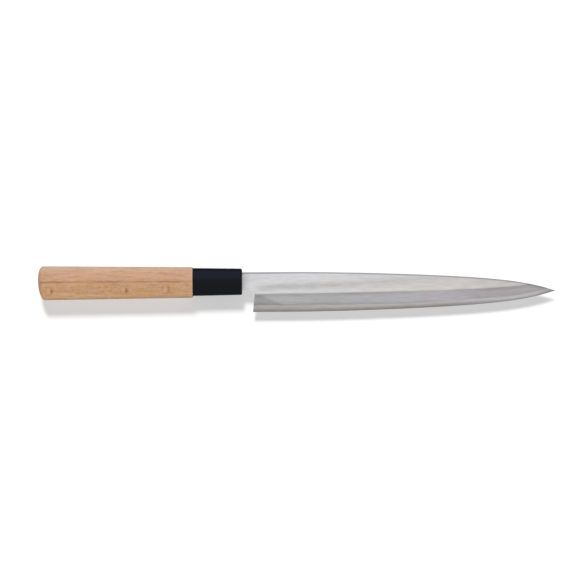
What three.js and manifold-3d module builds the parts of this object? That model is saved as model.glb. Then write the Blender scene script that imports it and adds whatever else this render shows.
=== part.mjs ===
// A sashimi knife: a single-bevel blade of soft steel with a hard steel layer on its back,
// its tang bedded in a D-shaped beech handle behind a black moulded ferrule.
// Millimetres. The knife lies with its hollow back down, as it lies on a table: +X runs from the butt
// to the tip, +Y towards the spine and +Z out of the bevelled side. While it is built, X = 0 is the
// ferrule's front and the handle's centre line is the X axis.
import * as THREE from "three";
import { mergeVertices } from "three/addons/utils/BufferGeometryUtils.js";
import Module from "manifold-3d";

// Blade outline
const bladeLength = 210; // ferrule to tip
const bladeHeight = 26.75; // spine to edge at the heel
const spineHeight = 6.5; // spine above the handle's centre line
const tipDrop = 13.4; // tip below the straight part of the spine
const straightLength = 31; // from the ferrule, spine and edge are parallel this far
const gentlePower = 1.76; // the outline's long gentle sweep
const curlPower = 8.4; // the outline's quick turn at the tip
const gentleShare = 0.55; // how much of the way to the tip the gentle sweep makes
const heelLean = 1.3; // the heel's foot leans towards the handle

// Blade section
const spineAtHeel = 3.3; // thickness of the flat at the heel
const spineAtTip = 1.6; // what it would taper to at the tip
const bevelWidth = 12.5; // edge to bevel line, measured up the blade
const bevelNarrowing = 4.3; // how much narrower the bevel would be at the tip
const narrowingPower = 2.6; // how late that narrowing comes
const heelDip = 0.5; // the bevel line dips this much at the heel
const heelDipLength = 12; // and rises out of the dip over about this length
const hardLayer = 1.27; // hard steel on the back, at the heel
const spineEase = 0.4; // chamfer along the spine on the bevelled side
const backEase = 0.25; // chamfer along the spine on the back
const edgeLand = 1.3; // flat rim of the back along the edge
const spineLand = 1.8; // flat rim of the back along the spine
const landShare = 1 / 3; // near the tip each rim takes at most this share of the height
const hollowRadius = 160; // radius of the wheel that hollows the back
const hollowStart = 4; // the hollow begins this far past the heel
const hollowRunIn = 16; // and reaches its full depth this much further

// Neck and tang
const neckLength = 8.45; // ferrule to heel
const neckHeight = 11.8; // neck where it leaves the ferrule
const neckRecess = 0.2; // the neck's back lies below the flat of the blade's back
const tangLength = 92; // ferrule's front to the tang's end
const tangHeight = 7.6; // at the shoulder
const tangThickness = 2.8;
const tangEndHeight = 4.6;
const tangEndThickness = 2;

// Ferrule
const ferruleLength = 33;
const ferruleHeight = 18.75; // where it meets the wood
const ferruleFrontHeight = 17.7;
const ferruleThickness = 16.2;
const ferruleFrontThickness = 15.4;
const ferruleWall = 1.8;
const ferruleFace = 4; // thickness of its closed front
const ferruleRim = 1.1; // radius round the front
const ferruleRise = 0.25; // the ferrule sits this far towards the spine

// Handle
const woodLength = 103.6; // butt to ferrule
const woodHeight = 20.65; // where it meets the ferrule
const buttHeight = 22.8;
const woodThickness = 17.8;
const buttThickness = 19.2;
const buttDome = 4.3; // the butt bulges this far past its rim
const buttSlant = 0.65; // and reaches this much further back on the spine's side
const woodEase = 0.5; // rounding of the wood's edge at the ferrule
const facePower = 6; // squareness of the section's bevelled side, where 2 is an ellipse
const backPower = 2.4; // squareness of the side that it lies on
const ridgeShare = 0.3; // how far the bevelled side is drawn out into the ridge

// Fits
const glueGap = 0.15; // glue line round the tenon, the tang and the bedding
const neckGap = 0.25; // gap between the neck and the ferrule's slot
const beddingWall = 0.8; // resin round the tang

// Facets
const gripSides = 40; // a multiple of four, so that a corner lies on the ridge
const bladeSteps = 34;
const tipCrowding = 1.6; // how much closer the blade's facets get towards the tip
const hollowSteps = 8;
const roundSteps = 5;
const domeSteps = 9;

const { lerp, clamp, smoothstep } = THREE.MathUtils;
const wasm = await Module();
wasm.setup();

// Geometry of the closed skin through rings of equal counts, each ring turning from +Y to +Z.
// The ends are closed from a hub, by default the ring's middle. Points that meet are joined, so a ring
// may shrink to a tip, and what falls flat is dropped.
function loft(rings, startHub = middle(rings[0]), endHub = middle(rings.at(-1))) {
  const count = rings[0].length;
  const points = [...rings.flat(), startHub, endHub];
  const endRing = (rings.length - 1) * count;
  const triangles = [];
  for (let corner = 0; corner < count; corner++) {
    const next = (corner + 1) % count;
    triangles.push([points.length - 2, next, corner]);
    triangles.push([points.length - 1, endRing + corner, endRing + next]);
    for (let ring = 0; ring < endRing; ring += count) {
      triangles.push([ring + corner, ring + next, ring + count + next]);
      triangles.push([ring + corner, ring + count + next, ring + count + corner]);
    }
  }
  const skin = new THREE.BufferGeometry().setFromPoints(points).setIndex(triangles.flat());
  const joined = mergeVertices(skin);
  const kept = [];
  for (let i = 0; i < joined.index.count; i += 3) {
    const [a, b, c] = joined.index.array.slice(i, i + 3);
    if (a !== b && b !== c && c !== a) kept.push(a, b, c);
  }
  return joined.setIndex(kept);
}

function middle(ring) {
  const sum = ring.reduce((total, point) => total.add(point), new THREE.Vector3());
  return sum.divideScalar(ring.length);
}

// A piece cut by others, as geometry.
function cut(geometry, ...cutters) {
  const mesh = cutters.reduce((rest, cutter) => rest.subtract(solid(cutter)), solid(geometry)).getMesh();
  return new THREE.BufferGeometry()
    .setAttribute("position", new THREE.BufferAttribute(mesh.vertProperties, 3))
    .setIndex(new THREE.BufferAttribute(mesh.triVerts, 1));
}

function solid(geometry) {
  const vertProperties = geometry.attributes.position.array;
  const triVerts = new Uint32Array(geometry.index.array);
  return new wasm.Manifold(new wasm.Mesh({ numProp: 3, vertProperties, triVerts }));
}

function piece(name, geometry, color, roughness, metalness) {
  geometry.computeVertexNormals();
  const mesh = new THREE.Mesh(geometry, new THREE.MeshStandardMaterial({ color, roughness, metalness }));
  mesh.name = name;
  return mesh;
}

// Where a falling function of x reaches zero.
function zeroOf(fall, low, high) {
  for (let halving = 0; halving < 60; halving++) {
    const x = (low + high) / 2;
    if (fall(x) > 0) low = x;
    else high = x;
  }
  return low;
}

// Blade lines, all as functions of x, with z = 0 on the flat of the back
const towardsTip = (x) => Math.max(0, (x - straightLength) / (bladeLength - straightLength));
const sweep = (x) =>
  gentleShare * towardsTip(x) ** gentlePower + (1 - gentleShare) * towardsTip(x) ** curlPower;
const spineY = (x) => spineHeight - tipDrop * sweep(x);
const edgeY = (x) => spineHeight - bladeHeight + (bladeHeight - tipDrop) * sweep(x);
const tallness = (x) => spineY(x) - edgeY(x);
const bevelRun = (x) =>
  bevelWidth -
  bevelNarrowing * towardsTip(x) ** narrowingPower -
  heelDip * Math.exp((neckLength - x) / heelDipLength);
const bevelLineEnd = zeroOf((x) => tallness(x) - bevelRun(x), straightLength, bladeLength);
const stockZ = (x) => lerp(spineAtHeel, spineAtTip, (x - neckLength) / (bladeLength - neckLength));
const bevelSlope = (x) => stockZ(Math.min(x, bevelLineEnd)) / bevelRun(Math.min(x, bevelLineEnd));
const faceZ = (x, y) => Math.min(stockZ(x), bevelSlope(x) * (y - edgeY(x)));
const spineZ = (x) => faceZ(x, spineY(x));
// Forging thins both steels alike, so the hard layer keeps its share of the thickness.
const hardZ = (x) => (hardLayer * stockZ(x)) / spineAtHeel;
const softEnd = zeroOf((x) => spineZ(x) - hardZ(x), bevelLineEnd, bladeLength);
const weldY = (x) => edgeY(x) + hardZ(x) / bevelSlope(x);
const easeAt = (x) => (spineEase * (spineZ(x) - hardZ(x))) / (spineAtHeel - hardLayer);
const bevelLineY = (x) => Math.min(edgeY(x) + bevelRun(x), spineY(x) - easeAt(x));
const heelTopY = bevelLineY(neckLength);
const heelX = (y) => neckLength - heelLean * clamp((heelTopY - y) / (heelTopY - edgeY(neckLength)), 0, 1);

// Stations from the heel to the tip, closer together where the outline turns.
function stationsTo(end) {
  const stations = [];
  for (let step = 1; step < bladeSteps; step++) {
    const left = (1 - step / bladeSteps) ** tipCrowding;
    stations.push(lerp(bladeLength, neckLength, left));
  }
  const exact = [bevelLineEnd, softEnd].filter((x) => x < end);
  const apart = bladeLength / bladeSteps / bladeSteps;
  const free = stations.filter((x) => x < end - apart && exact.every((e) => Math.abs(x - e) > apart));
  return [...free, ...exact].sort((a, b) => a - b);
}

const at = (x, section) => section.map(([y, z]) => new THREE.Vector3(x, y, z));
// The heel's ring leans, and keeps the blade's taper while it does.
const leaning = (section) =>
  section.map(([y, z]) => new THREE.Vector3(heelX(y), y, (z * stockZ(heelX(y))) / spineAtHeel));

// Soft steel body: the flat, the upper part of the bevel, the neck and the tang
function softSection(x) {
  const top = spineY(x) - easeAt(x);
  const line = bevelLineY(x);
  return [
    [spineY(x), hardZ(x)],
    [spineY(x), hardZ(x)],
    [spineY(x), spineZ(x) - easeAt(x)],
    [top, faceZ(x, top)],
    [line, faceZ(x, line)],
    [weldY(x), hardZ(x)],
    [line, hardZ(x)],
  ];
}

// A rectangle with the same corners as the blade's section, so that neck and blade are one skin.
function barSection(top, bottom, back, level, front) {
  return [
    [top, back],
    [top, level],
    [top, front - spineEase],
    [top - spineEase, front],
    [bottom, front],
    [bottom, level],
    [bottom, back],
  ];
}

// Under the neck a quarter of an ellipse runs out into the heel.
function neckSection(x) {
  const round = 1 - Math.sqrt(1 - clamp(x / neckLength, 0, 1) ** 2);
  const bottom = lerp(spineHeight - neckHeight, heelTopY, round);
  return barSection(spineHeight, bottom, neckRecess, hardLayer, spineAtHeel);
}

const tangShare = (x) => (-x - ferruleFace) / (tangLength - ferruleFace);
const tangHeightAt = (x) => lerp(tangHeight, tangEndHeight, tangShare(x));
const tangThicknessAt = (x) => lerp(tangThickness, tangEndThickness, tangShare(x));

function tangSection(x) {
  const half = tangHeightAt(x) / 2;
  const back = (spineAtHeel - tangThicknessAt(x)) / 2;
  return barSection(half, -half, back, spineAtHeel / 2, back + tangThicknessAt(x));
}

function softSteel() {
  const tang = [-tangLength, -ferruleFace].map((x) => at(x, tangSection(x)));
  const neck = [at(-ferruleFace, neckSection(-ferruleFace))];
  for (let step = 0; step <= roundSteps; step++) {
    const x = neckLength * Math.sin((step / roundSteps) * (Math.PI / 2));
    neck.push(at(x, neckSection(x)));
  }
  const heel = leaning(softSection(neckLength));
  const blade = [...stationsTo(softEnd), softEnd].map((x) => at(x, softSection(x)));
  return loft([...tang, ...neck, heel, ...blade]);
}

// Hard steel layer: the whole back with its hollow, the edge and, past the soft steel, the tip
function hardSection(x) {
  const top = Math.min(hardZ(x), spineZ(x));
  const ease = backEase * (spineZ(x) / (spineZ(x) + backEase));
  const low = edgeY(x) + Math.min(edgeLand, tallness(x) * landShare);
  const high = spineY(x) - Math.min(spineLand, tallness(x) * landShare);
  const runIn = smoothstep(x - neckLength - hollowStart, 0, hollowRunIn);
  const back = [];
  for (let step = 0; step <= hollowSteps; step++) {
    const y = lerp(low, high, step / hollowSteps);
    back.push([y, (runIn * (y - low) * (high - y)) / (2 * hollowRadius)]);
  }
  return [
    [spineY(x), top],
    [x < softEnd ? bevelLineY(x) : spineY(x), top],
    [x < softEnd ? weldY(x) : spineY(x), top],
    [edgeY(x), 0],
    ...back,
    [spineY(x) - ease, 0],
    [spineY(x), Math.min(ease, top / 2)],
  ];
}

function hardSteel() {
  const heel = leaning(hardSection(neckLength));
  const hub = new THREE.Vector3(neckLength, heelTopY, hardLayer / 2);
  const blade = stationsTo(bladeLength).map((x) => at(x, hardSection(x)));
  const tip = heel.map(() => new THREE.Vector3(bladeLength, spineY(bladeLength), 0));
  return loft([heel, ...blade, tip], hub);
}

// One turn of the handle's D section: a squarish oval, drawn out into a soft ridge on the bevelled side.
function gripRing(x, height, thickness, centre) {
  const ring = [];
  for (let side = 0; side < gripSides; side++) {
    const turn = (side / gripSides) * 2 * Math.PI;
    const across = Math.cos(turn);
    const oval = (power) => (1 - Math.abs(across) ** power) ** (1 / power);
    const roof = 1 - Math.abs(across);
    const out = Math.sin(turn) > 0 ? lerp(oval(facePower), roof, ridgeShare) : -oval(backPower);
    ring.push(new THREE.Vector3(x, centre + (across * height) / 2, (out * thickness) / 2));
  }
  return ring;
}

const ferruleShare = (x) => -x / ferruleLength;
const ferruleHeightAt = (x) => lerp(ferruleFrontHeight, ferruleHeight, ferruleShare(x));
const ferruleThicknessAt = (x) => lerp(ferruleFrontThickness, ferruleThickness, ferruleShare(x));
const ferruleRing = (x, inset) =>
  gripRing(x, ferruleHeightAt(x) - 2 * inset, ferruleThicknessAt(x) - 2 * inset, ferruleRise);

const woodShare = (x) => (-x - ferruleLength) / woodLength;
const woodRing = (x, inset) =>
  gripRing(
    x,
    lerp(woodHeight, buttHeight, woodShare(x)) - 2 * inset,
    lerp(woodThickness, buttThickness, woodShare(x)) - 2 * inset,
    0,
  );

// A bar with the tang's taper, larger than the tang by a margin all round.
function roundTang(margin, from, to) {
  const ring = (x) => {
    const y = tangHeightAt(x) / 2 + margin;
    const z = tangThicknessAt(x) / 2 + margin;
    return [[y, -z], [y, z], [-y, z], [-y, -z]].map((corner) => new THREE.Vector3(x, ...corner));
  };
  return loft([ring(from), ring(to)]);
}

const tenonFront = -ferruleFace - glueGap;
const beddingMargin = glueGap + beddingWall;
const slotMargin = beddingMargin + glueGap;
const openEnd = ferruleFace; // cutters run this far past the face that they open

// Beech handle: domed butt, taper, a shoulder for the ferrule, a tenon inside it and a blind tang slot
function beech() {
  const rim = -ferruleLength - woodLength + buttDome;
  const rimCentre = middle(woodRing(rim, 0));
  const slant = (point) => (buttSlant * point.y) / (buttHeight / 2);
  const rings = [];
  for (let step = domeSteps; step >= 0; step--) {
    const turn = (step / domeSteps) * (Math.PI / 2);
    const ring = woodRing(rim, 0).map((point) => point.lerp(rimCentre, 1 - Math.cos(turn)));
    rings.push(ring.map((point) => point.setX(rim - buttDome * Math.sin(turn) - slant(point))));
  }
  for (let step = 0; step <= roundSteps; step++) {
    const turn = (step / roundSteps) * (Math.PI / 2);
    const x = -ferruleLength - woodEase * (1 - Math.sin(turn));
    rings.push(woodRing(x, woodEase * (1 - Math.cos(turn))));
  }
  rings.push(ferruleRing(-ferruleLength, ferruleWall + glueGap));
  rings.push(ferruleRing(tenonFront, ferruleWall + glueGap));
  return cut(loft(rings), roundTang(slotMargin, -tangLength - slotMargin, tenonFront + openEnd));
}

// Resin that beds the tang in the slot, open at the front
function resin() {
  const block = roundTang(beddingMargin, -tangLength - beddingMargin, tenonFront);
  return cut(block, roundTang(glueGap, -tangLength - glueGap, tenonFront + openEnd));
}

// Moulded ferrule: a D-shaped cap over the tenon, with a slot for the neck in its rounded front
function cap() {
  const rings = [ferruleRing(-ferruleLength, 0)];
  for (let step = 0; step <= roundSteps; step++) {
    const turn = (step / roundSteps) * (Math.PI / 2);
    rings.push(ferruleRing(-ferruleRim * (1 - Math.sin(turn)), ferruleRim * (1 - Math.cos(turn))));
  }
  const pocket = [-ferruleLength - openEnd, -ferruleFace].map((x) => ferruleRing(x, ferruleWall));
  const slot = [-ferruleFace - openEnd, openEnd].map((x) => {
    const top = spineHeight + neckGap;
    const bottom = spineHeight - neckHeight - neckGap;
    const back = neckRecess - neckGap - spineAtHeel / 2;
    const front = spineAtHeel / 2 + neckGap;
    return at(x, [[top, back], [top, front], [bottom, front], [bottom, back]]);
  });
  return cut(loft(rings), loft(pocket), loft(slot));
}

// Assembly
const bladeGroup = new THREE.Group();
bladeGroup.position.z = -spineAtHeel / 2;
bladeGroup.add(piece("blade_body", softSteel(), 0xcfcfce, 0.35, 1));
bladeGroup.add(piece("edge_steel", hardSteel(), 0xb4b3b2, 0.28, 1));

const knife = new THREE.Group();
knife.add(bladeGroup);
knife.add(piece("handle_body", beech(), 0xc49b77, 0.6, 0));
knife.add(piece("ferrule", cap(), 0x1b1c20, 0.3, 0));
knife.add(piece("tang_bedding", resin(), 0x8a7a52, 0.5, 0));

// The origin is under the middle of the knife, on the surface that it lies on.
const box = new THREE.Box3().setFromObject(knife, true);
const centre = box.getCenter(new THREE.Vector3());
knife.position.set(-centre.x, -centre.y, -box.min.z);

const sashimiKnife = new THREE.Group();
sashimiKnife.add(knife);
export default sashimiKnife;
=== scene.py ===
import math

import bmesh
import bpy
import numpy as np
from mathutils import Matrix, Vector


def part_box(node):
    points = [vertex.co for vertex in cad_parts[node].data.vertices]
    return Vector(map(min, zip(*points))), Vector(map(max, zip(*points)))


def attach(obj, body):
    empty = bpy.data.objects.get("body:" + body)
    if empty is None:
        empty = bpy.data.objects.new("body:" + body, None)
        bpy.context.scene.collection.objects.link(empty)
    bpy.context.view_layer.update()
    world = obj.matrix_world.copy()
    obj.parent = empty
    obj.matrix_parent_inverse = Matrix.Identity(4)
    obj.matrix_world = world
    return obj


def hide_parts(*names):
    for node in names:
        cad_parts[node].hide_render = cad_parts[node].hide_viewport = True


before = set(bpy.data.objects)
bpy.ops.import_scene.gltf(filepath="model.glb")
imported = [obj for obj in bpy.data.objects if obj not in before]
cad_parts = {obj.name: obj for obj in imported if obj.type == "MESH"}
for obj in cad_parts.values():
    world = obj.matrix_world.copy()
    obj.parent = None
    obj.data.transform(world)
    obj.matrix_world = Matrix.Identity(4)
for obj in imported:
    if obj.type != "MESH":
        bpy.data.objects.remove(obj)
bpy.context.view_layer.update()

# Soft steel body of the blade: the flat, the upper part of the bevel, the neck and the hidden tang.
# It is forged as one bar with the hard steel under it, ground flat above the bevel line and hazed by
# the whetstone below it.
MM = 0.001
soft_low, soft_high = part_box("blade_body")
hard_low, hard_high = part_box("edge_steel")
ferrule_low, ferrule_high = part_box("ferrule")
bedding_low, bedding_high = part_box("tang_bedding")
front_x = ferrule_high.x  # the blade comes out of the ferrule here
axis_y, axis_z = ((bedding_low + bedding_high) / 2).yz  # the handle's centre line
spine_top = soft_high.y
soft_end_x = soft_high.x
edge_foot = hard_low.y
tip_x = hard_high.x
back_z = hard_low.z  # the flat of the blade's back
blade_height = spine_top - edge_foot
tip_drop = 13.4 * MM  # tip below the straight part of the spine
straight_end = front_x + 31 * MM
gentle_share = 0.55  # so much of the outline's closing is a gentle curve
gentle_power = 1.76
quick_power = 8.4  # and the rest is a quick turn at the tip
heel_x = front_x + 8.45 * MM
heel_lean = 1.3 * MM
bevel_width = 12.5 * MM
bevel_narrowing = 4.3 * MM
narrowing_power = 2.6
heel_dip = 0.5 * MM
heel_dip_length = 12 * MM
spine_at_heel = 3.3 * MM
spine_at_tip = 1.6 * MM
spine_ease = 0.4 * MM
hard_layer = 1.27 * MM


def ramp(x, start, end):
    """0 at start, going evenly to 1 at end, and level outside them."""
    return np.clip((x - start) / (end - start), 0, 1)


def between(ends, share):
    """A value that goes evenly from the first of two ends to the second."""
    return ends[0] + (ends[1] - ends[0]) * share


def sweep(x):
    """How far the outline has closed on the tip: a long gentle curve and a quick turn at the end, each
    a power of the way from the end of the straight part to the tip."""
    way = ramp(x, straight_end, tip_x)
    return gentle_share * way**gentle_power + (1 - gentle_share) * way**quick_power


def spine_y(x):
    """Height of the spine: straight, then down by the sweep."""
    return spine_top - tip_drop * sweep(x)


def edge_y(x):
    """Height of the edge: straight, then up by the sweep."""
    return edge_foot + (blade_height - tip_drop) * sweep(x)


def bevel_run(x):
    """Height of the bevel: constant, narrowing late towards the tip and dipping at the heel."""
    narrowing = bevel_narrowing * ramp(x, straight_end, tip_x) ** narrowing_power
    dip = heel_dip * np.exp((heel_x - np.maximum(x, heel_x)) / heel_dip_length)
    return bevel_width - narrowing - dip


outline_points = 4000
outline_x = np.linspace(straight_end, tip_x, outline_points)
room_above = spine_y(outline_x) - edge_y(outline_x) - bevel_run(outline_x)
line_end_x = np.interp(0, -room_above, outline_x)  # the bevel line runs out into the spine here


def stock(x):
    """Thickness of the flat, tapering evenly from the heel to the tip."""
    return between((spine_at_heel, spine_at_tip), (x - heel_x) / (tip_x - heel_x))


def bevel_slope(x):
    """Rise of the bevel for each metre up from the edge."""
    x = np.minimum(x, line_end_x)
    return stock(x) / bevel_run(x)


def face(x, y):
    """Height of the front above the flat of the back: the bevel's plane, cut off by the flat."""
    return np.minimum(stock(x), bevel_slope(x) * (y - edge_y(x)))


def hard(x):
    """Thickness of the hard layer, a fixed share of the stock."""
    return hard_layer * stock(x) / spine_at_heel


def spine_edge(x):
    """Radius along the spine's front edge, vanishing with the soft steel."""
    return spine_ease * (face(x, spine_y(x)) - hard(x)) / (spine_at_heel - hard_layer)


def line_y(x):
    """Height of the bevel line, or of the spine where the bevel has reached it."""
    return np.minimum(edge_y(x) + bevel_run(x), spine_y(x) - spine_edge(x))


weld_drift = 0.4 * MM  # how far the weld line wanders in long waves
drift_start = front_x + 20 * MM
drift_length = 30 * MM
weld_waver = 0.14 * MM  # in short ones
waver_length = 6.1 * MM
weld_shiver = 0.098 * MM  # and in shorter ones
shiver_length = 2.3 * MM
weld_sag = 0.7 * MM  # how much lower it runs towards the tip
sag_start = front_x + 140 * MM
sag_end = front_x + 180 * MM
steady_heel = 4 * MM  # over these lengths it settles towards its ends
steady_tip = 20 * MM


def weld_y(x):
    """Height at which the weld shows on the bevel: even, wandering a little and sagging late."""
    drift = weld_drift * np.cos((x - drift_start) / drift_length)
    waver = weld_waver * np.sin(x / waver_length) + weld_shiver * np.sin(x / shiver_length + 1)
    sag = weld_sag * ramp(x, sag_start, sag_end)
    free = ramp(x, heel_x, heel_x + steady_heel) * ramp(x, soft_end_x, soft_end_x - steady_tip)
    return edge_y(x) + hard(x) / bevel_slope(x) + (drift + waver - sag) * free


def walk(corners, steps):
    """Points round closed sections: corners is (section, corner, yz), and each leg from one corner to
    the next is cut into so many even steps."""
    ends = np.roll(corners, -1, axis=1)
    legs = []
    for leg, count in enumerate(steps):
        share = np.arange(count)[:, None] / count
        legs.append(between((corners[:, leg, None], ends[:, leg, None]), share))
    return np.concatenate(legs, axis=1)


def rings_at(x, sections):
    """Sections, (section, point, yz), set up at their x as (section, point, xyz)."""
    along = np.broadcast_to(x[:, None, None], (*sections.shape[:2], 1))
    return np.concatenate([along, sections], axis=2)


def skin(name, rings, sharp_degrees, ring_loop=False, **marks):
    """A closed mesh over a grid of (ring, point, xyz): each ring closes on itself, the rings follow each
    other, and points that meet are joined, so that a ring may shrink to a pole. Marks are values for
    each point of the grid. Edges that turn by more than the given angle stay sharp."""
    meeting = 0.0005 * MM
    points = np.arange(rings.shape[0] * rings.shape[1]).reshape(rings.shape[:2])
    if ring_loop:
        points = np.concatenate([points, points[:1]])
    beside = np.roll(points, -1, axis=1)
    quads = np.stack([points[:-1], beside[:-1], beside[1:], points[1:]], axis=-1).reshape(-1, 4)
    mesh = bpy.data.meshes.new(name)
    mesh.from_pydata(rings.reshape(-1, 3).tolist(), [], quads.tolist())
    for mark, values in marks.items():
        layer = mesh.attributes.new(mark, "FLOAT", "POINT")
        layer.data.foreach_set("value", values.ravel().astype(np.float32))
    joined = bmesh.new()
    joined.from_mesh(mesh)
    bmesh.ops.remove_doubles(joined, verts=joined.verts, dist=meeting)
    bmesh.ops.dissolve_degenerate(joined, edges=joined.edges, dist=meeting)
    joined.to_mesh(mesh)
    joined.free()
    mesh.shade_smooth()
    mesh.set_sharp_from_angle(angle=math.radians(sharp_degrees))
    return mesh


def round_corner(y, z, radius, count):
    """A quarter round between a face at y and a face at z, as count + 1 corners from +Y to +Z."""
    turn = np.linspace(0, math.pi / 2, count + 1)
    return np.stack([y - radius * (1 - np.cos(turn)), z - radius * (1 - np.sin(turn))], axis=-1)


def corner_list(*corners):
    """Corners given as (y, z) arrays over the sections, as one array of (section, corner, yz)."""
    return np.stack([np.stack(np.broadcast_arrays(y, z), axis=-1) for y, z in corners], axis=1)


ease_steps = 4
soft_steps = [2, 2, *[1] * ease_steps, 14, 12, 3, 3]  # on each leg of a section


def soft_sections(x):
    """Sections of the soft steel: up the spine, round its edge, down the flat to the bevel line, down
    the bevel to the weld, and back along the weld."""
    spine_z = face(x, spine_y(x))
    rounded = round_corner(spine_y(x)[:, None], spine_z[:, None], spine_edge(x)[:, None], ease_steps)
    rounded[:, -1, 1] = face(x, rounded[:, -1, 0])
    weld = corner_list((spine_y(x), hard(x)), (spine_y(x), hard(x)))
    lower = corner_list(
        (line_y(x), face(x, line_y(x))),
        (weld_y(x), bevel_slope(x) * (weld_y(x) - edge_y(x))),
        (line_y(x), hard(x)),
    )
    return walk(np.concatenate([weld, rounded, lower], axis=1), soft_steps)


def bar_sections(top, bottom, back, level, face_z):
    """Plain bars with as many points as the blade's sections, so that neck and blade are one skin."""
    rounded = round_corner(top[:, None], face_z[:, None], spine_ease, ease_steps)
    above = corner_list((top, back), (top, level))
    below = corner_list((bottom, face_z), (bottom, level), (bottom, back))
    return walk(np.concatenate([above, rounded, below], axis=1), soft_steps)


def heel_ring(section):
    """The heel's ring: it leans back towards its foot and keeps the blade's taper while it does."""
    y, z = section[0].T
    x = heel_x - heel_lean * ramp(y, line_y(np.array([heel_x])), edge_y(np.array([heel_x])))
    return np.stack([x, y, z * stock(x) / spine_at_heel], axis=-1)[None]


def stations(start, end, count):
    """Places along the blade, closing up towards its tip."""
    closing_power = 1.5
    return between((start, end), 1 - (1 - np.linspace(0, 1, count)) ** closing_power)


# Neck: a quarter of an ellipse under it runs out into the heel.
neck_height = 11.8 * MM
neck_recess = 0.2 * MM
neck_stations = 24
shoulder_x = front_x - 4 * MM
neck_bottom = spine_top - neck_height
heel_top = line_y(np.array([heel_x]))[0]
neck_share = np.sin(np.linspace(0, math.pi / 2, neck_stations))
neck_round = np.concatenate([[0], 1 - np.sqrt(1 - neck_share**2)])
neck_x = np.concatenate([[shoulder_x], between((front_x, heel_x), neck_share)])
neck = bar_sections(
    np.full_like(neck_x, spine_top),
    between((neck_bottom, heel_top), neck_round),
    neck_recess,
    hard_layer,
    np.full_like(neck_x, spine_at_heel),
)

# Tang: a bar in the handle's middle, tapering from the shoulder.
tang_end_x = soft_low.x
tang_height = (7.6 * MM, 4.6 * MM)  # at the shoulder, at its end
tang_thickness = (2.8 * MM, 2 * MM)
tang_stations = 12
tang_x = np.linspace(tang_end_x, shoulder_x, tang_stations)
tang_share = (shoulder_x - tang_x) / (shoulder_x - tang_end_x)
tang_half = between(tang_height, tang_share) / 2
tang_depth = between(tang_thickness, tang_share)
tang_back = (spine_at_heel - tang_depth) / 2
tang_top, tang_bottom = axis_y + tang_half, axis_y - tang_half
tang = bar_sections(tang_top, tang_bottom, tang_back, spine_at_heel / 2, tang_back + tang_depth)

# Blade, joined to the neck and the tang and closed at both ends.
soft_stations = 300
blade_x = stations(heel_x, soft_end_x, soft_stations)
blade = rings_at(blade_x, soft_sections(blade_x))
soft_rings = np.concatenate(
    [rings_at(tang_x, tang), rings_at(neck_x, neck), heel_ring(blade[:1, :, 1:]), blade[1:]]
)
soft_ends = soft_rings[[0, -1]].mean(axis=1, keepdims=True) + np.zeros_like(soft_rings[:1])
soft_rings = np.concatenate([soft_ends[:1], soft_rings, soft_ends[1:]])
crease_degrees = 6  # so that the bevel line stays crisp


def blade_marks(rings):
    """Each point's height in millimetres over the bevel line, the weld and the edge, and its depth
    under the spine."""
    x = np.maximum(rings[..., 0], heel_x)
    y = rings[..., 1]
    return {
        "over_line": (y - line_y(x)) / MM,
        "over_weld": (y - weld_y(x)) / MM,
        "over_edge": (y - edge_y(x)) / MM,
        "under_spine": (spine_y(x) - y) / MM,
    }


soft_marks = blade_marks(soft_rings)
soft_rings[..., 2] += back_z
soft_mesh = skin("soft_steel_blade", soft_rings, crease_degrees, **soft_marks)


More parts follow.
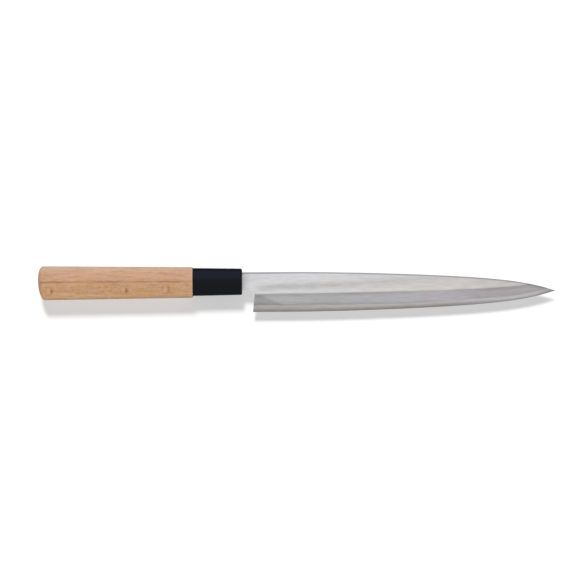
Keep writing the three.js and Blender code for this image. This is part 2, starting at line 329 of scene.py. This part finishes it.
class Wire:
    """A value, colour or vector on its way through a node tree. Arithmetic on it adds Math nodes."""

    def __init__(self, tree, socket=None):
        self.tree = tree
        self.socket = socket

    @classmethod
    def start(cls, owner):
        """The emptied node tree of a material or a world."""
        owner.use_nodes = True
        owner.node_tree.nodes.clear()
        return cls(owner.node_tree)

    def node(self, kind, settings, inputs, output=0):
        """Adds a node: its settings are set first, then its sockets get their values or links."""
        made = self.tree.nodes.new("ShaderNode" + kind)
        for name, value in settings.items():
            setattr(made, name, value)
        for name, value in inputs.items():
            socket = made.inputs[name]
            if isinstance(value, Wire):
                self.tree.links.new(value.socket, socket)
            else:
                socket.default_value = (*value, 1) if socket.type == "RGBA" else value
        return Wire(self.tree, made.outputs[output] if made.outputs else None)

    def math(self, operation, first, second=0.0):
        """One step of arithmetic on two values."""
        return self.node("Math", {"operation": operation}, {0: first, 1: second})

    def __add__(self, other):
        return self.math("ADD", self, other)

    __radd__ = __add__

    def __sub__(self, other):
        return self.math("SUBTRACT", self, other)

    def __rsub__(self, other):
        return self.math("SUBTRACT", other, self)

    def __mul__(self, other):
        return self.math("MULTIPLY", self, other)

    __rmul__ = __mul__

    def __truediv__(self, other):
        return self.math("DIVIDE", self, other)

    def __abs__(self):
        return self.math("ABSOLUTE", self)

    def rise(self, start, end):
        """0 at start and before, 1 at end and past it, smooth between."""
        settings = {"interpolation_type": "SMOOTHSTEP"}
        return self.node("MapRange", settings, {"Value": self, "From Min": start, "From Max": end})

    def near(self, middle, reach):
        """1 at a middle value, falling smoothly to 0 at a reach to either side."""
        return 1 - abs(self - middle).rise(0.0, reach)

    def place(self):
        """Where a point lies, in metres in the shared frame."""
        return self.node("TexCoord", {}, {}, "Object")

    def normal(self):
        """The way that the surface faces."""
        return self.node("NewGeometry", {}, {}, "Normal")

    def part(self, name):
        """X, Y or Z of a vector."""
        return self.node("SeparateXYZ", {}, {0: self}, name)

    def mark(self, name):
        """A value that the mesh carries at its points."""
        return self.node("Attribute", {"attribute_name": name}, {}, "Fac")

    def in_cells(self, length, width):
        """A place counted in cells that are so long along X and so wide along Y and Z."""
        return self.node("VectorMath", {"operation": "DIVIDE"}, {0: self, 1: (length, width, width)})

    def noise(self, length, width, detail=2.0):
        """Noise about 0, mostly within 0.5, in patches of about a length along X and a width across it."""
        cells = self.in_cells(length, width)
        return self.node("TexNoise", {}, {"Vector": cells, "Scale": 1.0, "Detail": detail}) - 0.5

    def blend(self, low, high):
        """The colour low where this value is 0, and high where it is 1."""
        return self.node("Mix", {"data_type": "RGBA"}, {0: self, 6: low, 7: high}, 2)

    def tint(self, colour):
        """A colour multiplied by this value."""
        return self.node("VectorMath", {"operation": "SCALE"}, {0: colour, "Scale": self})

    def bump(self, strength, depth):
        """The surface's normal, tipped as if this value were its height."""
        return self.node("Bump", {}, {"Strength": strength, "Distance": depth, "Height": self})

    def finish(self, settings, wires):
        """Ends a material: one shader with its fixed settings and the wires that vary over the surface."""
        shader = self.node("BsdfPrincipled", {}, {**settings, **wires})
        self.node("OutputMaterial", {}, {"Surface": shader})


def steel_grain(place):
    """Marks of the work on both steels: long lines of the grinding belt, patches that the polish left,
    satin lines that show from close by, and those lines together with short soft streaks."""
    grind = place.noise(30 * MM, 0.3 * MM, 3.0)
    haze = place.noise(22 * MM, 6 * MM)
    satin = place.noise(9 * MM, 0.1 * MM, 1.0)
    streaks = 0.26 * place.noise(7 * MM, 1.2 * MM) + 0.35 * satin
    return grind, haze, satin, streaks


spine_shade_grey = (0.21, 0.2, 0.235)
cool_steel = (0.68, 0.68, 0.692)
warm_steel = (0.675, 0.648, 0.626)
olive_steel = (0.428, 0.424, 0.414)
grey_steel = (0.458, 0.45, 0.453)
blue_steel = (0.498, 0.496, 0.515)
violet_steel = (0.504, 0.473, 0.504)
pink_steel = (0.503, 0.479, 0.485)
satin_depth = 0.02 * MM
satin_strength = 0.12
soft_steel = bpy.data.materials.new("soft_steel_satin")
w = Wire.start(soft_steel)
place = w.place()
along = (place.part("X") - front_x) / MM  # millimetres in front of the ferrule
grind, haze, satin, streaks = steel_grain(place)

# The flat is dull in a band above the bevel line, warmer towards the tip, and darkened by painted shade.
over_line = w.mark("over_line")
brighter_above_line = over_line.near(1.5, 1.3) * along.rise(25, 70)  # brighter just above the bevel line
dull_band = over_line.near(3.7 + 0.031 * along, 3.6) * along.rise(5, 20)
band_depth = 0.26 - 0.0016 * along
ferrule_painted_shade = 1 - along.rise(0, 7)  # painted shade next to the black ferrule
upper_half = over_line.rise(3.0, 7.5)
# Painted shade: the flat darkens towards the tip, its lower half from near the heel and its upper half
# further on.
flat_painted_shade = 0.04 * along.rise(100, 150) + 0.07 * along.rise(145, 175)
flat_painted_shade = flat_painted_shade + 0.05 * along.rise(25, 50) * (1 - upper_half)
flat_painted_shade = flat_painted_shade + 0.07 * along.rise(60, 115) * upper_half
flat_level = 1.005 + 0.04 * brighter_above_line - band_depth * dull_band - 0.2 * ferrule_painted_shade - flat_painted_shade
flat_level = flat_level + 0.14 * haze + 0.14 * grind + streaks
warmth = along.rise(30, 110) * (1 - 0.65 * upper_half * (1 - along.rise(120, 150)))
warmth = warmth + 0.45 * dull_band * (1 - along.rise(50, 100))
flat = flat_level.tint((warmth + haze).blend(cool_steel, warm_steel))

# The bevel is darker under its line, at the weld and at the heel, and its hue drifts along the blade.
line_shade = over_line.rise(-2.8, -0.8) * (1 - along.near(135, 40)) * (0.9 + 2.0 * haze)
dark_patch = over_line.near(-1.4, 1.8) * along.near(36, 7)  # a darker patch just under the bevel line
over_weld = w.mark("over_weld")
weld_depth = 0.14 - 0.14 * along.rise(50, 120) + 0.06 * along.rise(140, 165)
weld_shade = weld_depth * (1 - over_weld.rise(0.0, 2.6))
weld_clear = (120, 145)  # the weld's dark line fades over this stretch
weld_line = over_weld.near(0.2, 0.6) * (1 - along.rise(*weld_clear))
heel_shade = 1 - (along + 1.9 * over_line).rise(9.0, 15.0)
bevel_level = 0.98 + 0.13 * (1 - along.rise(30, 95)) - 0.075 * along.rise(130, 165)
bevel_level = bevel_level - 0.16 * line_shade - 0.1 * dark_patch - weld_shade - 0.14 * weld_line
bevel_level = bevel_level - 0.22 * heel_shade + 0.14 * haze + 0.16 * grind + streaks
# The bevel's colours are darker than the flat's, partly for its hazier finish and partly as painted shade
# for the darker surroundings that its slope mirrors.
middle_hue = along.rise(50, 100).blend(grey_steel, blue_steel)
front_hue = along.rise(150, 172).blend(violet_steel, pink_steel)
bevel_hue = along.rise(105, 140).blend(middle_hue, front_hue)
bevel_hue = along.rise(10, 20).blend(olive_steel, bevel_hue)

softer_line = 1 - along.rise(20, 60)  # the change from bevel to flat is softer near the heel
on_flat = over_line.rise(-0.3 - 0.4 * softer_line, 0.3 + 0.8 * softer_line)
steel = on_flat.blend(bevel_level.tint(bevel_hue), flat)
# Painted reflection: the face turns dark grey along the spine's rounded edge, for the dark surroundings
# that the rounding mirrors.
spine_shade = 1 - w.mark("under_spine").rise(0.0, 1.7 - 0.4 * along.rise(12, 40))
faces_up = w.normal().part("Z").rise(0.1, 0.5)
w.finish(
    {"Metallic": 1.0},
    {
        "Base Color": (0.85 * faces_up * spine_shade).blend(steel, spine_shade_grey),
        "Roughness": 0.42 - 0.08 * on_flat + 0.12 * haze + 0.1 * grind,
        "Normal": satin.bump(satin_strength, satin_depth),
    },
)


def add_piece(mesh, material):
    """An object of the mesh's name, at the origin, with its material."""
    mesh.materials.append(material)
    piece = bpy.data.objects.new(mesh.name, mesh)
    bpy.context.scene.collection.objects.link(piece)
    return piece


soft_blade = add_piece(soft_mesh, soft_steel)
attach(soft_blade, "root")
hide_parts("blade_body")

# Hard steel layer: the whole hollow-ground back, the strip along the edge and the last of the tip.
# It is forge-welded under the soft steel, and its edge is finished with a narrow second bevel.
edge_land = 1.3 * MM
spine_land = 1.8 * MM
land_share = 1 / 3  # of the blade's height, the most that a land takes near the tip
hollow_radius = 160 * MM
hollow_start = heel_x + 4 * MM
hollow_full = heel_x + 20 * MM
back_ease = 0.25 * MM
second_bevel = 0.4 * MM
second_slope = 0.5
hollow_points = 28
hard_steps = [3, 3, 10, 2, 3, *[1] * (hollow_points - 1), 3, 2, 1]  # on each leg of a section
hard_stations = 340


def hard_sections(x):
    """Sections of the hard steel: along the weld, down the bevel, over the second bevel to the edge, then
    along the back: a flat land, the hollow's arc, a flat land and the eased spine."""
    top_y, foot_y = spine_y(x), edge_y(x)
    height = top_y - foot_y
    top = np.minimum(hard(x), face(x, top_y))
    is_tip = x >= soft_end_x
    weld = np.where(is_tip, top_y, weld_y(x))
    weld_z = np.where(is_tip, top, bevel_slope(x) * (weld - foot_y))
    inner = np.where(is_tip, top_y, line_y(x))
    cut = np.minimum(second_bevel, height * land_share)
    cut_z = bevel_slope(x) * cut
    edge = foot_y + cut - cut_z / second_slope
    low = foot_y + np.minimum(edge_land, height * land_share)
    high = top_y - np.minimum(spine_land, height * land_share)
    run_in = ramp(x, hollow_start, hollow_full)
    depth = run_in**2 * (3 - 2 * run_in) / (2 * hollow_radius)
    hollow_y = between((low[:, None], high[:, None]), np.linspace(0, 1, hollow_points))
    hollow_z = depth[:, None] * (hollow_y - low[:, None]) * (high[:, None] - hollow_y)
    ease = np.minimum(back_ease, top / 2)
    weld_side = corner_list((top_y, top), (inner, top), (weld, weld_z))
    edge_side = corner_list((foot_y + cut, cut_z), (edge, 0))
    back = np.stack([hollow_y, hollow_z], axis=-1)
    spine_side = corner_list((top_y - ease, 0), (top_y, ease))
    return walk(np.concatenate([weld_side, edge_side, back, spine_side], axis=1), hard_steps)


hard_x = stations(heel_x, tip_x, hard_stations)
hard_blade = rings_at(hard_x, hard_sections(hard_x))
hard_rings = np.concatenate([heel_ring(hard_blade[:1, :, 1:]), hard_blade[1:]])
heel_hub = np.array([heel_x, heel_top, hard_layer / 2]) + np.zeros_like(hard_rings[:1])
hard_rings = np.concatenate([heel_hub, hard_rings])
hard_marks = {**blade_marks(hard_rings), "over_back": hard_rings[..., 2] / MM}
hard_rings[..., 2] += back_z
hard_mesh = skin("hard_steel_edge", hard_rings, crease_degrees, **hard_marks)

olive_strip = (0.452, 0.445, 0.425)
middle_strip = (0.503, 0.482, 0.476)
front_strip = (0.508, 0.494, 0.502)
tip_steel = (0.39, 0.363, 0.386)
land_colour = (0.66, 0.655, 0.65)
hollow_colour = (0.5, 0.495, 0.49)
hard_steel = bpy.data.materials.new("hard_steel_satin")
w = Wire.start(hard_steel)
place = w.place()
along = (place.part("X") - front_x) / MM
grind, haze, satin, streaks = steel_grain(place)
weld_line = w.mark("over_weld").near(0.0, 0.8) * (1 - along.rise(*weld_clear))
edge_shade_width = 3.6 - 1.6 * along.rise(150, 190)
edge_painted_shade = 1 - w.mark("over_edge").rise(0.2, edge_shade_width)  # painted shade: darker towards the edge, as a rounded edge would mirror darker surroundings
edge_shade_depth = 0.42 + 0.08 * along.rise(40, 80)
strip_level = 1 - 0.2 * weld_line + 0.07 * along.rise(135, 160) - edge_shade_depth * edge_painted_shade
# The strip's colours are darker than the flat's, partly for its hazier finish and partly as painted shade
# for the darker surroundings that the bevel's slope mirrors.
strip_hue = along.rise(35, 65).blend(olive_strip, middle_strip)
strip_hue = along.rise(135, 165).blend(strip_hue, front_strip)
strip_hue = along.rise(194, 206).blend(strip_hue, tip_steel)
is_back = 1 - w.normal().part("Z").rise(-0.2, 0.2)
in_hollow = is_back * w.mark("over_back").rise(0.0, 0.06)  # dull from the wheel, while the lands are honed
steel = is_back.blend(strip_level.tint(strip_hue), in_hollow.blend(land_colour, hollow_colour))
w.finish(
    {"Metallic": 1.0},
    {
        "Base Color": (1.01 + 0.16 * haze + 0.16 * grind + streaks).tint(steel),
        "Roughness": 0.36 + 0.08 * in_hollow + 0.12 * haze + 0.1 * grind,
        "Normal": satin.bump(satin_strength, satin_depth),
    },
)
hard_edge = add_piece(hard_mesh, hard_steel)
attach(hard_edge, "root")
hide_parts("edge_steel")

# Beech handle: a D section with a soft ridge on the bevelled side, a domed butt, a shoulder and a tenon
# for the ferrule, and a blind slot for the tang. Planed, sanded and left without varnish.
butt_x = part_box("handle_body")[0].x
joint_x = ferrule_low.x
butt_dome = 4.3 * MM
butt_slant = 0.65 * MM  # the butt reaches this much further back on the spine's side
slant_power = 4  # how soon the slant dies out along the wood
wood_height = (20.65 * MM, 22.8 * MM)  # at the ferrule, at the butt
wood_thickness = (17.8 * MM, 19.2 * MM)
wood_ease = 0.5 * MM
ferrule_height = (17.7 * MM, 18.75 * MM)  # at the front, at the wood
ferrule_thickness = (15.4 * MM, 16.2 * MM)
ferrule_rise = 0.25 * MM  # the ferrule sits this far towards the spine
ferrule_wall = 1.8 * MM
glue_gap = 0.15 * MM
face_power = 6  # squareness of the section's bevelled side, where 2 is an ellipse
back_power = 2.4  # and of the side that it lies on
ridge_share = 0.3
ridge_softness = 0.1
slot_power = 16  # high, so that a slot's section is a rectangle with tight corners
grip_sides = 192
dome_stations = 40
wood_stations = 140
ease_stations = 10
tenon_stations = 12
slot_stations = 12
turn = np.arange(grip_sides) * (2 * math.pi / grip_sides)


def grip_rings(x, height, thickness, rise=0.0):
    """D-shaped rings over the turn: across is its cosine, and out is (1 - |across|^power)^(1 / power). On
    the bevelled side out is drawn part of the way to a roof, 1 - |across|, with its ridge softened."""
    across = np.cos(turn)
    roof = 1 - np.hypot(across, ridge_softness * np.sin(turn))
    face_out = (1 - np.abs(across) ** face_power) ** (1 / face_power)
    back_out = (1 - np.abs(across) ** back_power) ** (1 / back_power)
    out = np.where(np.sin(turn) > 0, between((face_out, roof), ridge_share), -back_out)
    x, height, thickness = (v[:, None] for v in np.broadcast_arrays(x, height, thickness))
    y = axis_y + rise + across * height / 2
    return np.stack([x + np.zeros_like(y), y, axis_z + out * thickness / 2], axis=-1)


def wood_rings(x, inset):
    """Rings of the wood's outside, drawn in by an inset."""
    share = (joint_x - x) / (joint_x - butt_x)
    height = between(wood_height, share) - 2 * inset
    return grip_rings(x, height, between(wood_thickness, share) - 2 * inset)


def ferrule_rings(x, inset):
    """Rings of the ferrule's outside, drawn in by an inset."""
    share = (front_x - x) / (front_x - joint_x)
    height = between(ferrule_height, share) - 2 * inset
    return grip_rings(x, height, between(ferrule_thickness, share) - 2 * inset, ferrule_rise)


def slot_rings(x, half_height, half_depth, centre):
    """Rings of a slot: a superellipse with a high power about a centre (y, z)."""
    y = np.sign(np.cos(turn)) * np.abs(np.cos(turn)) ** (2 / slot_power)
    z = np.sign(np.sin(turn)) * np.abs(np.sin(turn)) ** (2 / slot_power)
    x, half_height, half_depth = (v[:, None] for v in np.broadcast_arrays(x, half_height, half_depth))
    sides = [x + np.zeros_like(y), centre[0] + half_height * y, centre[1] + half_depth * z]
    return np.stack(sides, axis=-1)


# Outside of the wood: rings shrink over the dome to the butt's middle, and the slant shears them.
rim_x = butt_x + math.hypot(butt_dome, butt_slant)
dome_turn = np.linspace(math.pi / 2, 0, dome_stations)[:-1]
rim = wood_rings(np.full(len(dome_turn), rim_x), 0.0)
rim_centre = rim.mean(axis=1, keepdims=True)
dome = between((rim_centre, rim), np.cos(dome_turn)[:, None, None])
dome[..., 0] -= butt_dome * np.sin(dome_turn)[:, None]
body = wood_rings(np.linspace(rim_x, joint_x - wood_ease, wood_stations), 0.0)
slant_share = np.linspace(1, 0, wood_stations)[:, None] ** slant_power
dome[..., 0] -= butt_slant * (dome[..., 1] - axis_y) / (wood_height[1] / 2)
body[..., 0] -= butt_slant * (body[..., 1] - axis_y) / (wood_height[1] / 2) * slant_share
ease_turn = np.linspace(0, math.pi / 2, ease_stations)[1:]
eased = wood_rings(joint_x - wood_ease * (1 - np.sin(ease_turn)), wood_ease * (1 - np.cos(ease_turn)))

# Tenon under the ferrule, and the tang's slot in its front.
tenon_front = bedding_high.x
tenon = ferrule_rings(np.linspace(joint_x, tenon_front, tenon_stations), ferrule_wall + glue_gap)
slot_share = np.linspace(0, 1, slot_stations)
slot_size = bedding_high - bedding_low + Vector((0, 2 * glue_gap, 2 * glue_gap))
slot = slot_rings(
    between((tenon_front, bedding_low.x - glue_gap), slot_share),
    (slot_size.y - (tang_height[0] - tang_height[1]) * slot_share) / 2,
    (slot_size.z - (tang_thickness[0] - tang_thickness[1]) * slot_share) / 2,
    (axis_y, axis_z),
)
slot_end = slot[-1:].mean(axis=1, keepdims=True) + np.zeros_like(slot[:1])
grip_degrees = 35  # only the shoulder, the mouths of the slots and the rims are creased
handle_mesh = skin("beech_handle", np.concatenate([dome, body, eased, tenon, slot, slot_end]), grip_degrees)

pink_wood = (0.58, 0.35, 0.232)
pale_wood = (0.6, 0.405, 0.3)
ochre_wood = (0.62, 0.35, 0.165)
fleck_brown = (0.38, 0.18, 0.045)
ridge_brown = (0.3, 0.145, 0.055)
side_shade_wood = (0.47, 0.345, 0.26)
beech = bpy.data.materials.new("sanded_beech")
w = Wire.start(beech)
place = w.place()
along = (place.part("X") - front_x) / MM
across = (place.part("Y") - axis_y) / MM  # millimetres from the centre line towards the spine
faces_up = w.normal().part("Z").rise(0.1, 0.5)
below_ridge = 1 - across.rise(-2.0, 0.5)
blotches = place.noise(12 * MM, 2.2 * MM)
veils = place.noise(6 * MM, 1.6 * MM)
streaks = place.noise(14 * MM, 1.2 * MM)
thin_streaks = place.noise(9 * MM, 0.7 * MM, 1.0)
fibres = place.noise(12 * MM, 0.3 * MM, 3.0)
# The face above the ridge is pinker and less saturated than the ochre face below it, partly the wood's tone
# and partly painted sheen.
wood = (0.05 + 0.55 * below_ridge + 2.0 * blotches).rise(0.0, 1.0).blend(pink_wood, ochre_wood)
wood = (0.7 * below_ridge * veils.rise(-0.02, 0.2)).blend(wood, pale_wood)
# Painted sheen: the wood turns pale towards its edge on the spine's side.
wood = (0.9 * across.rise(5.0, 9.5)).blend(wood, pale_wood)

# Growth rings about the tree's middle, which lies beside the handle. They show best on the butt's end.
pith_y = axis_y + 14 * MM
pith_z = axis_z - 30 * MM
ring_width = 2.4 * MM
ring_warp = 3 * MM * place.noise(45 * MM, 9 * MM)
from_pith_y = place.part("Y") - pith_y + ring_warp
from_pith_z = place.part("Z") - pith_z + ring_warp
radius = w.math("SQRT", from_pith_y * from_pith_y + from_pith_z * from_pith_z)
ring = w.math("FRACT", radius / ring_width)
late_wood = ring.rise(0.35, 0.95) - ring.rise(0.95, 1.0)
end_grain = 1 - w.normal().part("X").rise(-0.95, -0.6)


def specks(place, length, width, least, most):
    """Scattered specks, one to a cell: 1 within the least distance from its middle, and 0 past the most."""
    cells = place.in_cells(length, width)
    return 1 - cells.node("TexVoronoi", {}, {"Vector": cells, "Scale": 1.0}).rise(least, most)


flecks = specks(place, 6 * MM, 0.9 * MM, 0.1, 0.45) * place.noise(16 * MM, 4 * MM).rise(-0.15, 0.15)
mottles = specks(place, 2.8 * MM, 1.3 * MM, 0.15, 0.5) * place.noise(7 * MM, 3 * MM).rise(-0.2, 0.15)
pores = specks(place, 2.4 * MM, 0.4 * MM, 0.08, 0.4)
brown = 0.1 * late_wood + 0.45 * flecks + 0.4 * thin_streaks.rise(0.06, 0.26) + 0.35 * pores
brown = brown + 0.34 * mottles * below_ridge * (1 + across.near(-1.6, 2.4))
brown = brown + end_grain * (0.12 + 0.4 * late_wood)

# Small knots below the ridge: each has a pale eye and a brown heart in front of it.
knots = ((-128, -5.2, 0.95), (-78, -4.8, 0.95), (-50, -4.6, 0.4))  # along, across, depth of the heart
eye_shift = (-1.2, 0.0)
eye_size = (1.7, 2.1)
heart_shift = (0.9, -0.4)
heart_size = (2.0, 3.0)


def from_spot(knot, shift, size):
    """Distance from a spot beside a knot's middle, counted in the spot's half sizes along and across."""
    out_x = (along - (knot[0] + shift[0])) / size[0]
    out_y = (across - (knot[1] + shift[1])) / size[1]
    out = w.node("CombineXYZ", {}, {"X": out_x, "Y": out_y})
    return w.node("VectorMath", {"operation": "LENGTH"}, {0: out}, "Value")


for knot in knots:
    eye = from_spot(knot, eye_shift, eye_size)
    heart = from_spot(knot, heart_shift, heart_size)
    wood = (0.5 * eye.near(0.0, 1.2)).blend(wood, pale_wood)
    brown = brown * eye.rise(0.3, 1.2) + knot[2] * heart.near(0.0, 1.0) * eye.rise(0.3, 1.0)
    brown = brown + 0.16 * eye.near(1.3, 0.5)
wood = brown.blend(wood, fleck_brown)

# The ridge is darker brown in dashes, the end at the ferrule is pale, and the sides get painted shade.
dashes = place.noise(9 * MM, 50 * MM, 3.0).rise(-0.15, 0.15)
off_ridge = across - 0.6 + 1.2 * place.noise(3 * MM, 50 * MM, 1.0)
dark_ridge = 0.8 * faces_up * off_ridge.near(0.0, 1.2) * (0.4 + 0.6 * dashes)
wood = dark_ridge.blend(wood, ridge_brown)
wood = (0.4 * along.rise(-36, -33.5)).blend(wood, pale_wood)
# Painted shade: faces that turn away from above are darker and greyer.
wood = (0.45 - 0.45 * faces_up).blend(wood, side_shade_wood)
# Painted light: the face is lighter towards its lower edge.
lower_edge_painted_light = 0.18 * faces_up * (1 - across.rise(-9.5, -5.5))
w.finish(
    {"Specular IOR Level": 0.5},
    {
        "Base Color": (1 + lower_edge_painted_light + 0.45 * fibres + 0.4 * streaks).tint(wood),
        "Roughness": 0.52 + 0.2 * fibres,
        "Normal": (fibres - 0.5 * flecks).bump(strength=0.2, depth=0.05 * MM),
    },
)
handle = add_piece(handle_mesh, beech)
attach(handle, "root")
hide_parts("handle_body")

# Ferrule: a moulded black cap with the handle's D section, pushed and glued over the tenon. Its front
# is closed but for the slot that the neck comes through.
ferrule_face = 4 * MM
ferrule_rim = 1.1 * MM
neck_gap = 0.25 * MM
wall_stations = 40
rim_stations = 12
wall = ferrule_rings(np.linspace(joint_x, front_x - ferrule_rim, wall_stations), 0.0)
rim_turn = np.linspace(0, math.pi / 2, rim_stations)[1:]
rim_in = ferrule_rim * (1 - np.cos(rim_turn))
rounded_rim = ferrule_rings(front_x - ferrule_rim * (1 - np.sin(rim_turn)), rim_in)
neck_low_z = back_z + neck_recess
neck_high_z = back_z + spine_at_heel
face_depth = np.array([front_x, front_x - ferrule_face])
neck_slot = slot_rings(
    face_depth,
    (spine_top - neck_bottom) / 2 + neck_gap,
    (neck_high_z - neck_low_z) / 2 + neck_gap,
    ((spine_top + neck_bottom) / 2, (neck_high_z + neck_low_z) / 2),
)
pocket = ferrule_rings(np.array([front_x - ferrule_face, joint_x]), ferrule_wall)
ferrule_skin = np.concatenate([wall, rounded_rim, neck_slot, pocket])
ferrule_mesh = skin("black_ferrule", ferrule_skin, grip_degrees, ring_loop=True)

black = (0.002, 0.002, 0.003)
painted_blue_reflection = (0.0045, 0.007, 0.0134)
scuffed = (0.008, 0.0085, 0.01)
black_plastic = bpy.data.materials.new("moulded_black")
w = Wire.start(black_plastic)
place = w.place()
across = (place.part("Y") - axis_y) / MM
# Painted reflection: the upper facet is tinted navy, as a bluish light mirrored in it would tint it.
upper_face = across.rise(1.3, 3.3) * w.normal().part("Z").rise(0.84, 0.93)
scuffs = place.noise(6 * MM, 0.4 * MM, 3.0).rise(0.08, 0.35)
clouds = place.noise(12 * MM, 5 * MM)
orange_peel = place.noise(0.9 * MM, 0.9 * MM)
w.finish(
    {"Specular IOR Level": 0.2, "Specular Tint": (0.62, 0.66, 0.8)},
    {
        "Base Color": (0.5 * scuffs).blend(upper_face.blend(black, painted_blue_reflection), scuffed),
        "Roughness": 0.3 + 0.15 * clouds + 0.1 * scuffs,
        "Normal": orange_peel.bump(strength=0.08, depth=0.05 * MM),
    },
)
ferrule = add_piece(ferrule_mesh, black_plastic)
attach(ferrule, "root")
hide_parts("ferrule")

# Resin that beds the tang in the handle's slot. It is poured in and sets there, and nothing of it shows
# once the ferrule is on, so it keeps its solid and only gets a finish.
clear_resin = (0.30, 0.22, 0.095)
cloudy_resin = (0.20, 0.15, 0.07)
resin = bpy.data.materials.new("cast_resin")
w = Wire.start(resin)
clouds = w.place().noise(4 * MM, 2 * MM, 3.0)
w.finish(
    {"Specular IOR Level": 0.5},
    {
        "Base Color": clouds.rise(-0.3, 0.3).blend(clear_resin, cloudy_resin),
        "Roughness": 0.45 + 0.3 * clouds,
    },
)
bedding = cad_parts["tang_bedding"]
bedding.data.materials.clear()
bedding.data.materials.append(resin)

# Table: a pale sheet under the knife, which keeps the knife's soft shadow. It is clear from below, so that
# the knife's back can be looked at.
table_half = 6.0
white = (1, 1, 1)
paper_grey = (0.71, 0.71, 0.71)
paper_glow = 0.34  # lifts the lit sheet to white and its shadow to a pale grey
table_mesh = bpy.data.meshes.new("table")
corners = np.array([[-1, -1, 0], [1, -1, 0], [1, 1, 0], [-1, 1, 0]]) * table_half
table_mesh.from_pydata(corners.tolist(), [], [[0, 1, 2, 3]])
table_paper = bpy.data.materials.new("table_paper")
w = Wire.start(table_paper)
paper = w.node("BsdfDiffuse", {}, {"Color": paper_grey})
glow = w.node("Emission", {}, {"Color": white, "Strength": paper_glow})
sheet = w.node("AddShader", {}, {0: paper, 1: glow})
clear = w.node("BsdfTransparent", {}, {})
from_below = w.node("NewGeometry", {}, {}, "Backfacing")
w.node("OutputMaterial", {}, {"Surface": w.node("MixShader", {}, {0: from_below, 1: sheet, 2: clear})})
table = add_piece(table_mesh, table_paper)
table.visible_glossy = False

# Studio light: a tent all round, which the camera sees as white and polished metal as white overhead, a
# soft key lamp from the spine's side, and a fill lamp from the edge's side that casts no shadow.
tent_level = 0.12
mirror_dark = 0.08  # what metal mirrors at the horizon
mirror_table = 0.4
mirror_wall = 0.62
mirror_roof = 0.7
mirror_key_side = 0.21  # added to the roof on the key lamp's side
tent = bpy.data.worlds.new("studio_tent")
bpy.context.scene.world = tent
w = Wire.start(tent)
direction = w.node("TexCoord", {}, {}, "Generated")
upwards = direction.part("Z")
key_side = direction.part("Y").rise(-0.95, 0.05)
table_below = 1 - upwards.rise(-0.4, -0.05)
low_wall = upwards.near(0.2, 0.3) * (1 - key_side)
overhead = upwards.rise(0.05, 0.5)
mirrored = mirror_dark + mirror_table * table_below + mirror_wall * low_wall
mirrored = mirrored + overhead * (mirror_roof + mirror_key_side * key_side)
is_camera = w.node("LightPath", {}, {}, "Is Camera Ray")
is_clear = w.node("LightPath", {}, {}, "Is Transmission Ray")
is_glossy = w.node("LightPath", {}, {}, "Is Glossy Ray")
seen = w.math("MAXIMUM", is_camera, is_clear)
level = seen + (1 - seen) * (is_glossy * mirrored + (1 - is_glossy) * tent_level)
background = w.node("Background", {}, {"Color": white, "Strength": level})
w.node("OutputWorld", {}, {"Surface": background})


def far_lamp(name, travel, energy, spread):
    """A lamp far away: travel is the way that its light goes, and spread its width in degrees."""
    data = bpy.data.lights.new(name, "SUN")
    data.energy = energy
    data.angle = math.radians(spread)
    lamp = bpy.data.objects.new(name, data)
    lamp.rotation_euler = Vector(travel).to_track_quat("-Z", "Y").to_euler()
    lamp.visible_glossy = False
    bpy.context.scene.collection.objects.link(lamp)
    return data


far_lamp("key_lamp", (1.2, -8, -10), energy=2.42, spread=12)
fill_lamp = far_lamp("fill_lamp", (0, 6, -8), energy=0.98, spread=30)
fill_lamp.use_shadow = False

# Camera: a long lens straight above the knife, with the spine up. It stands far off, so that the knife
# shows almost without perspective, and it is turned a little, as the knife lies askew in the picture.
view_width = 385.84 * MM
view_centre = (-5.96 * MM, 0.35 * MM)
askew = math.radians(0.33)
camera_data = bpy.data.cameras.new("overhead_camera")
camera_data.lens = 200
camera = bpy.data.objects.new("overhead_camera", camera_data)
distance = view_width * camera_data.lens / camera_data.sensor_width
camera.location = (*view_centre, axis_z + distance)
camera.rotation_euler.z = -askew
bpy.context.scene.collection.objects.link(camera)
bpy.context.scene.camera = camera
bpy.context.scene.view_settings.view_transform = "Standard"
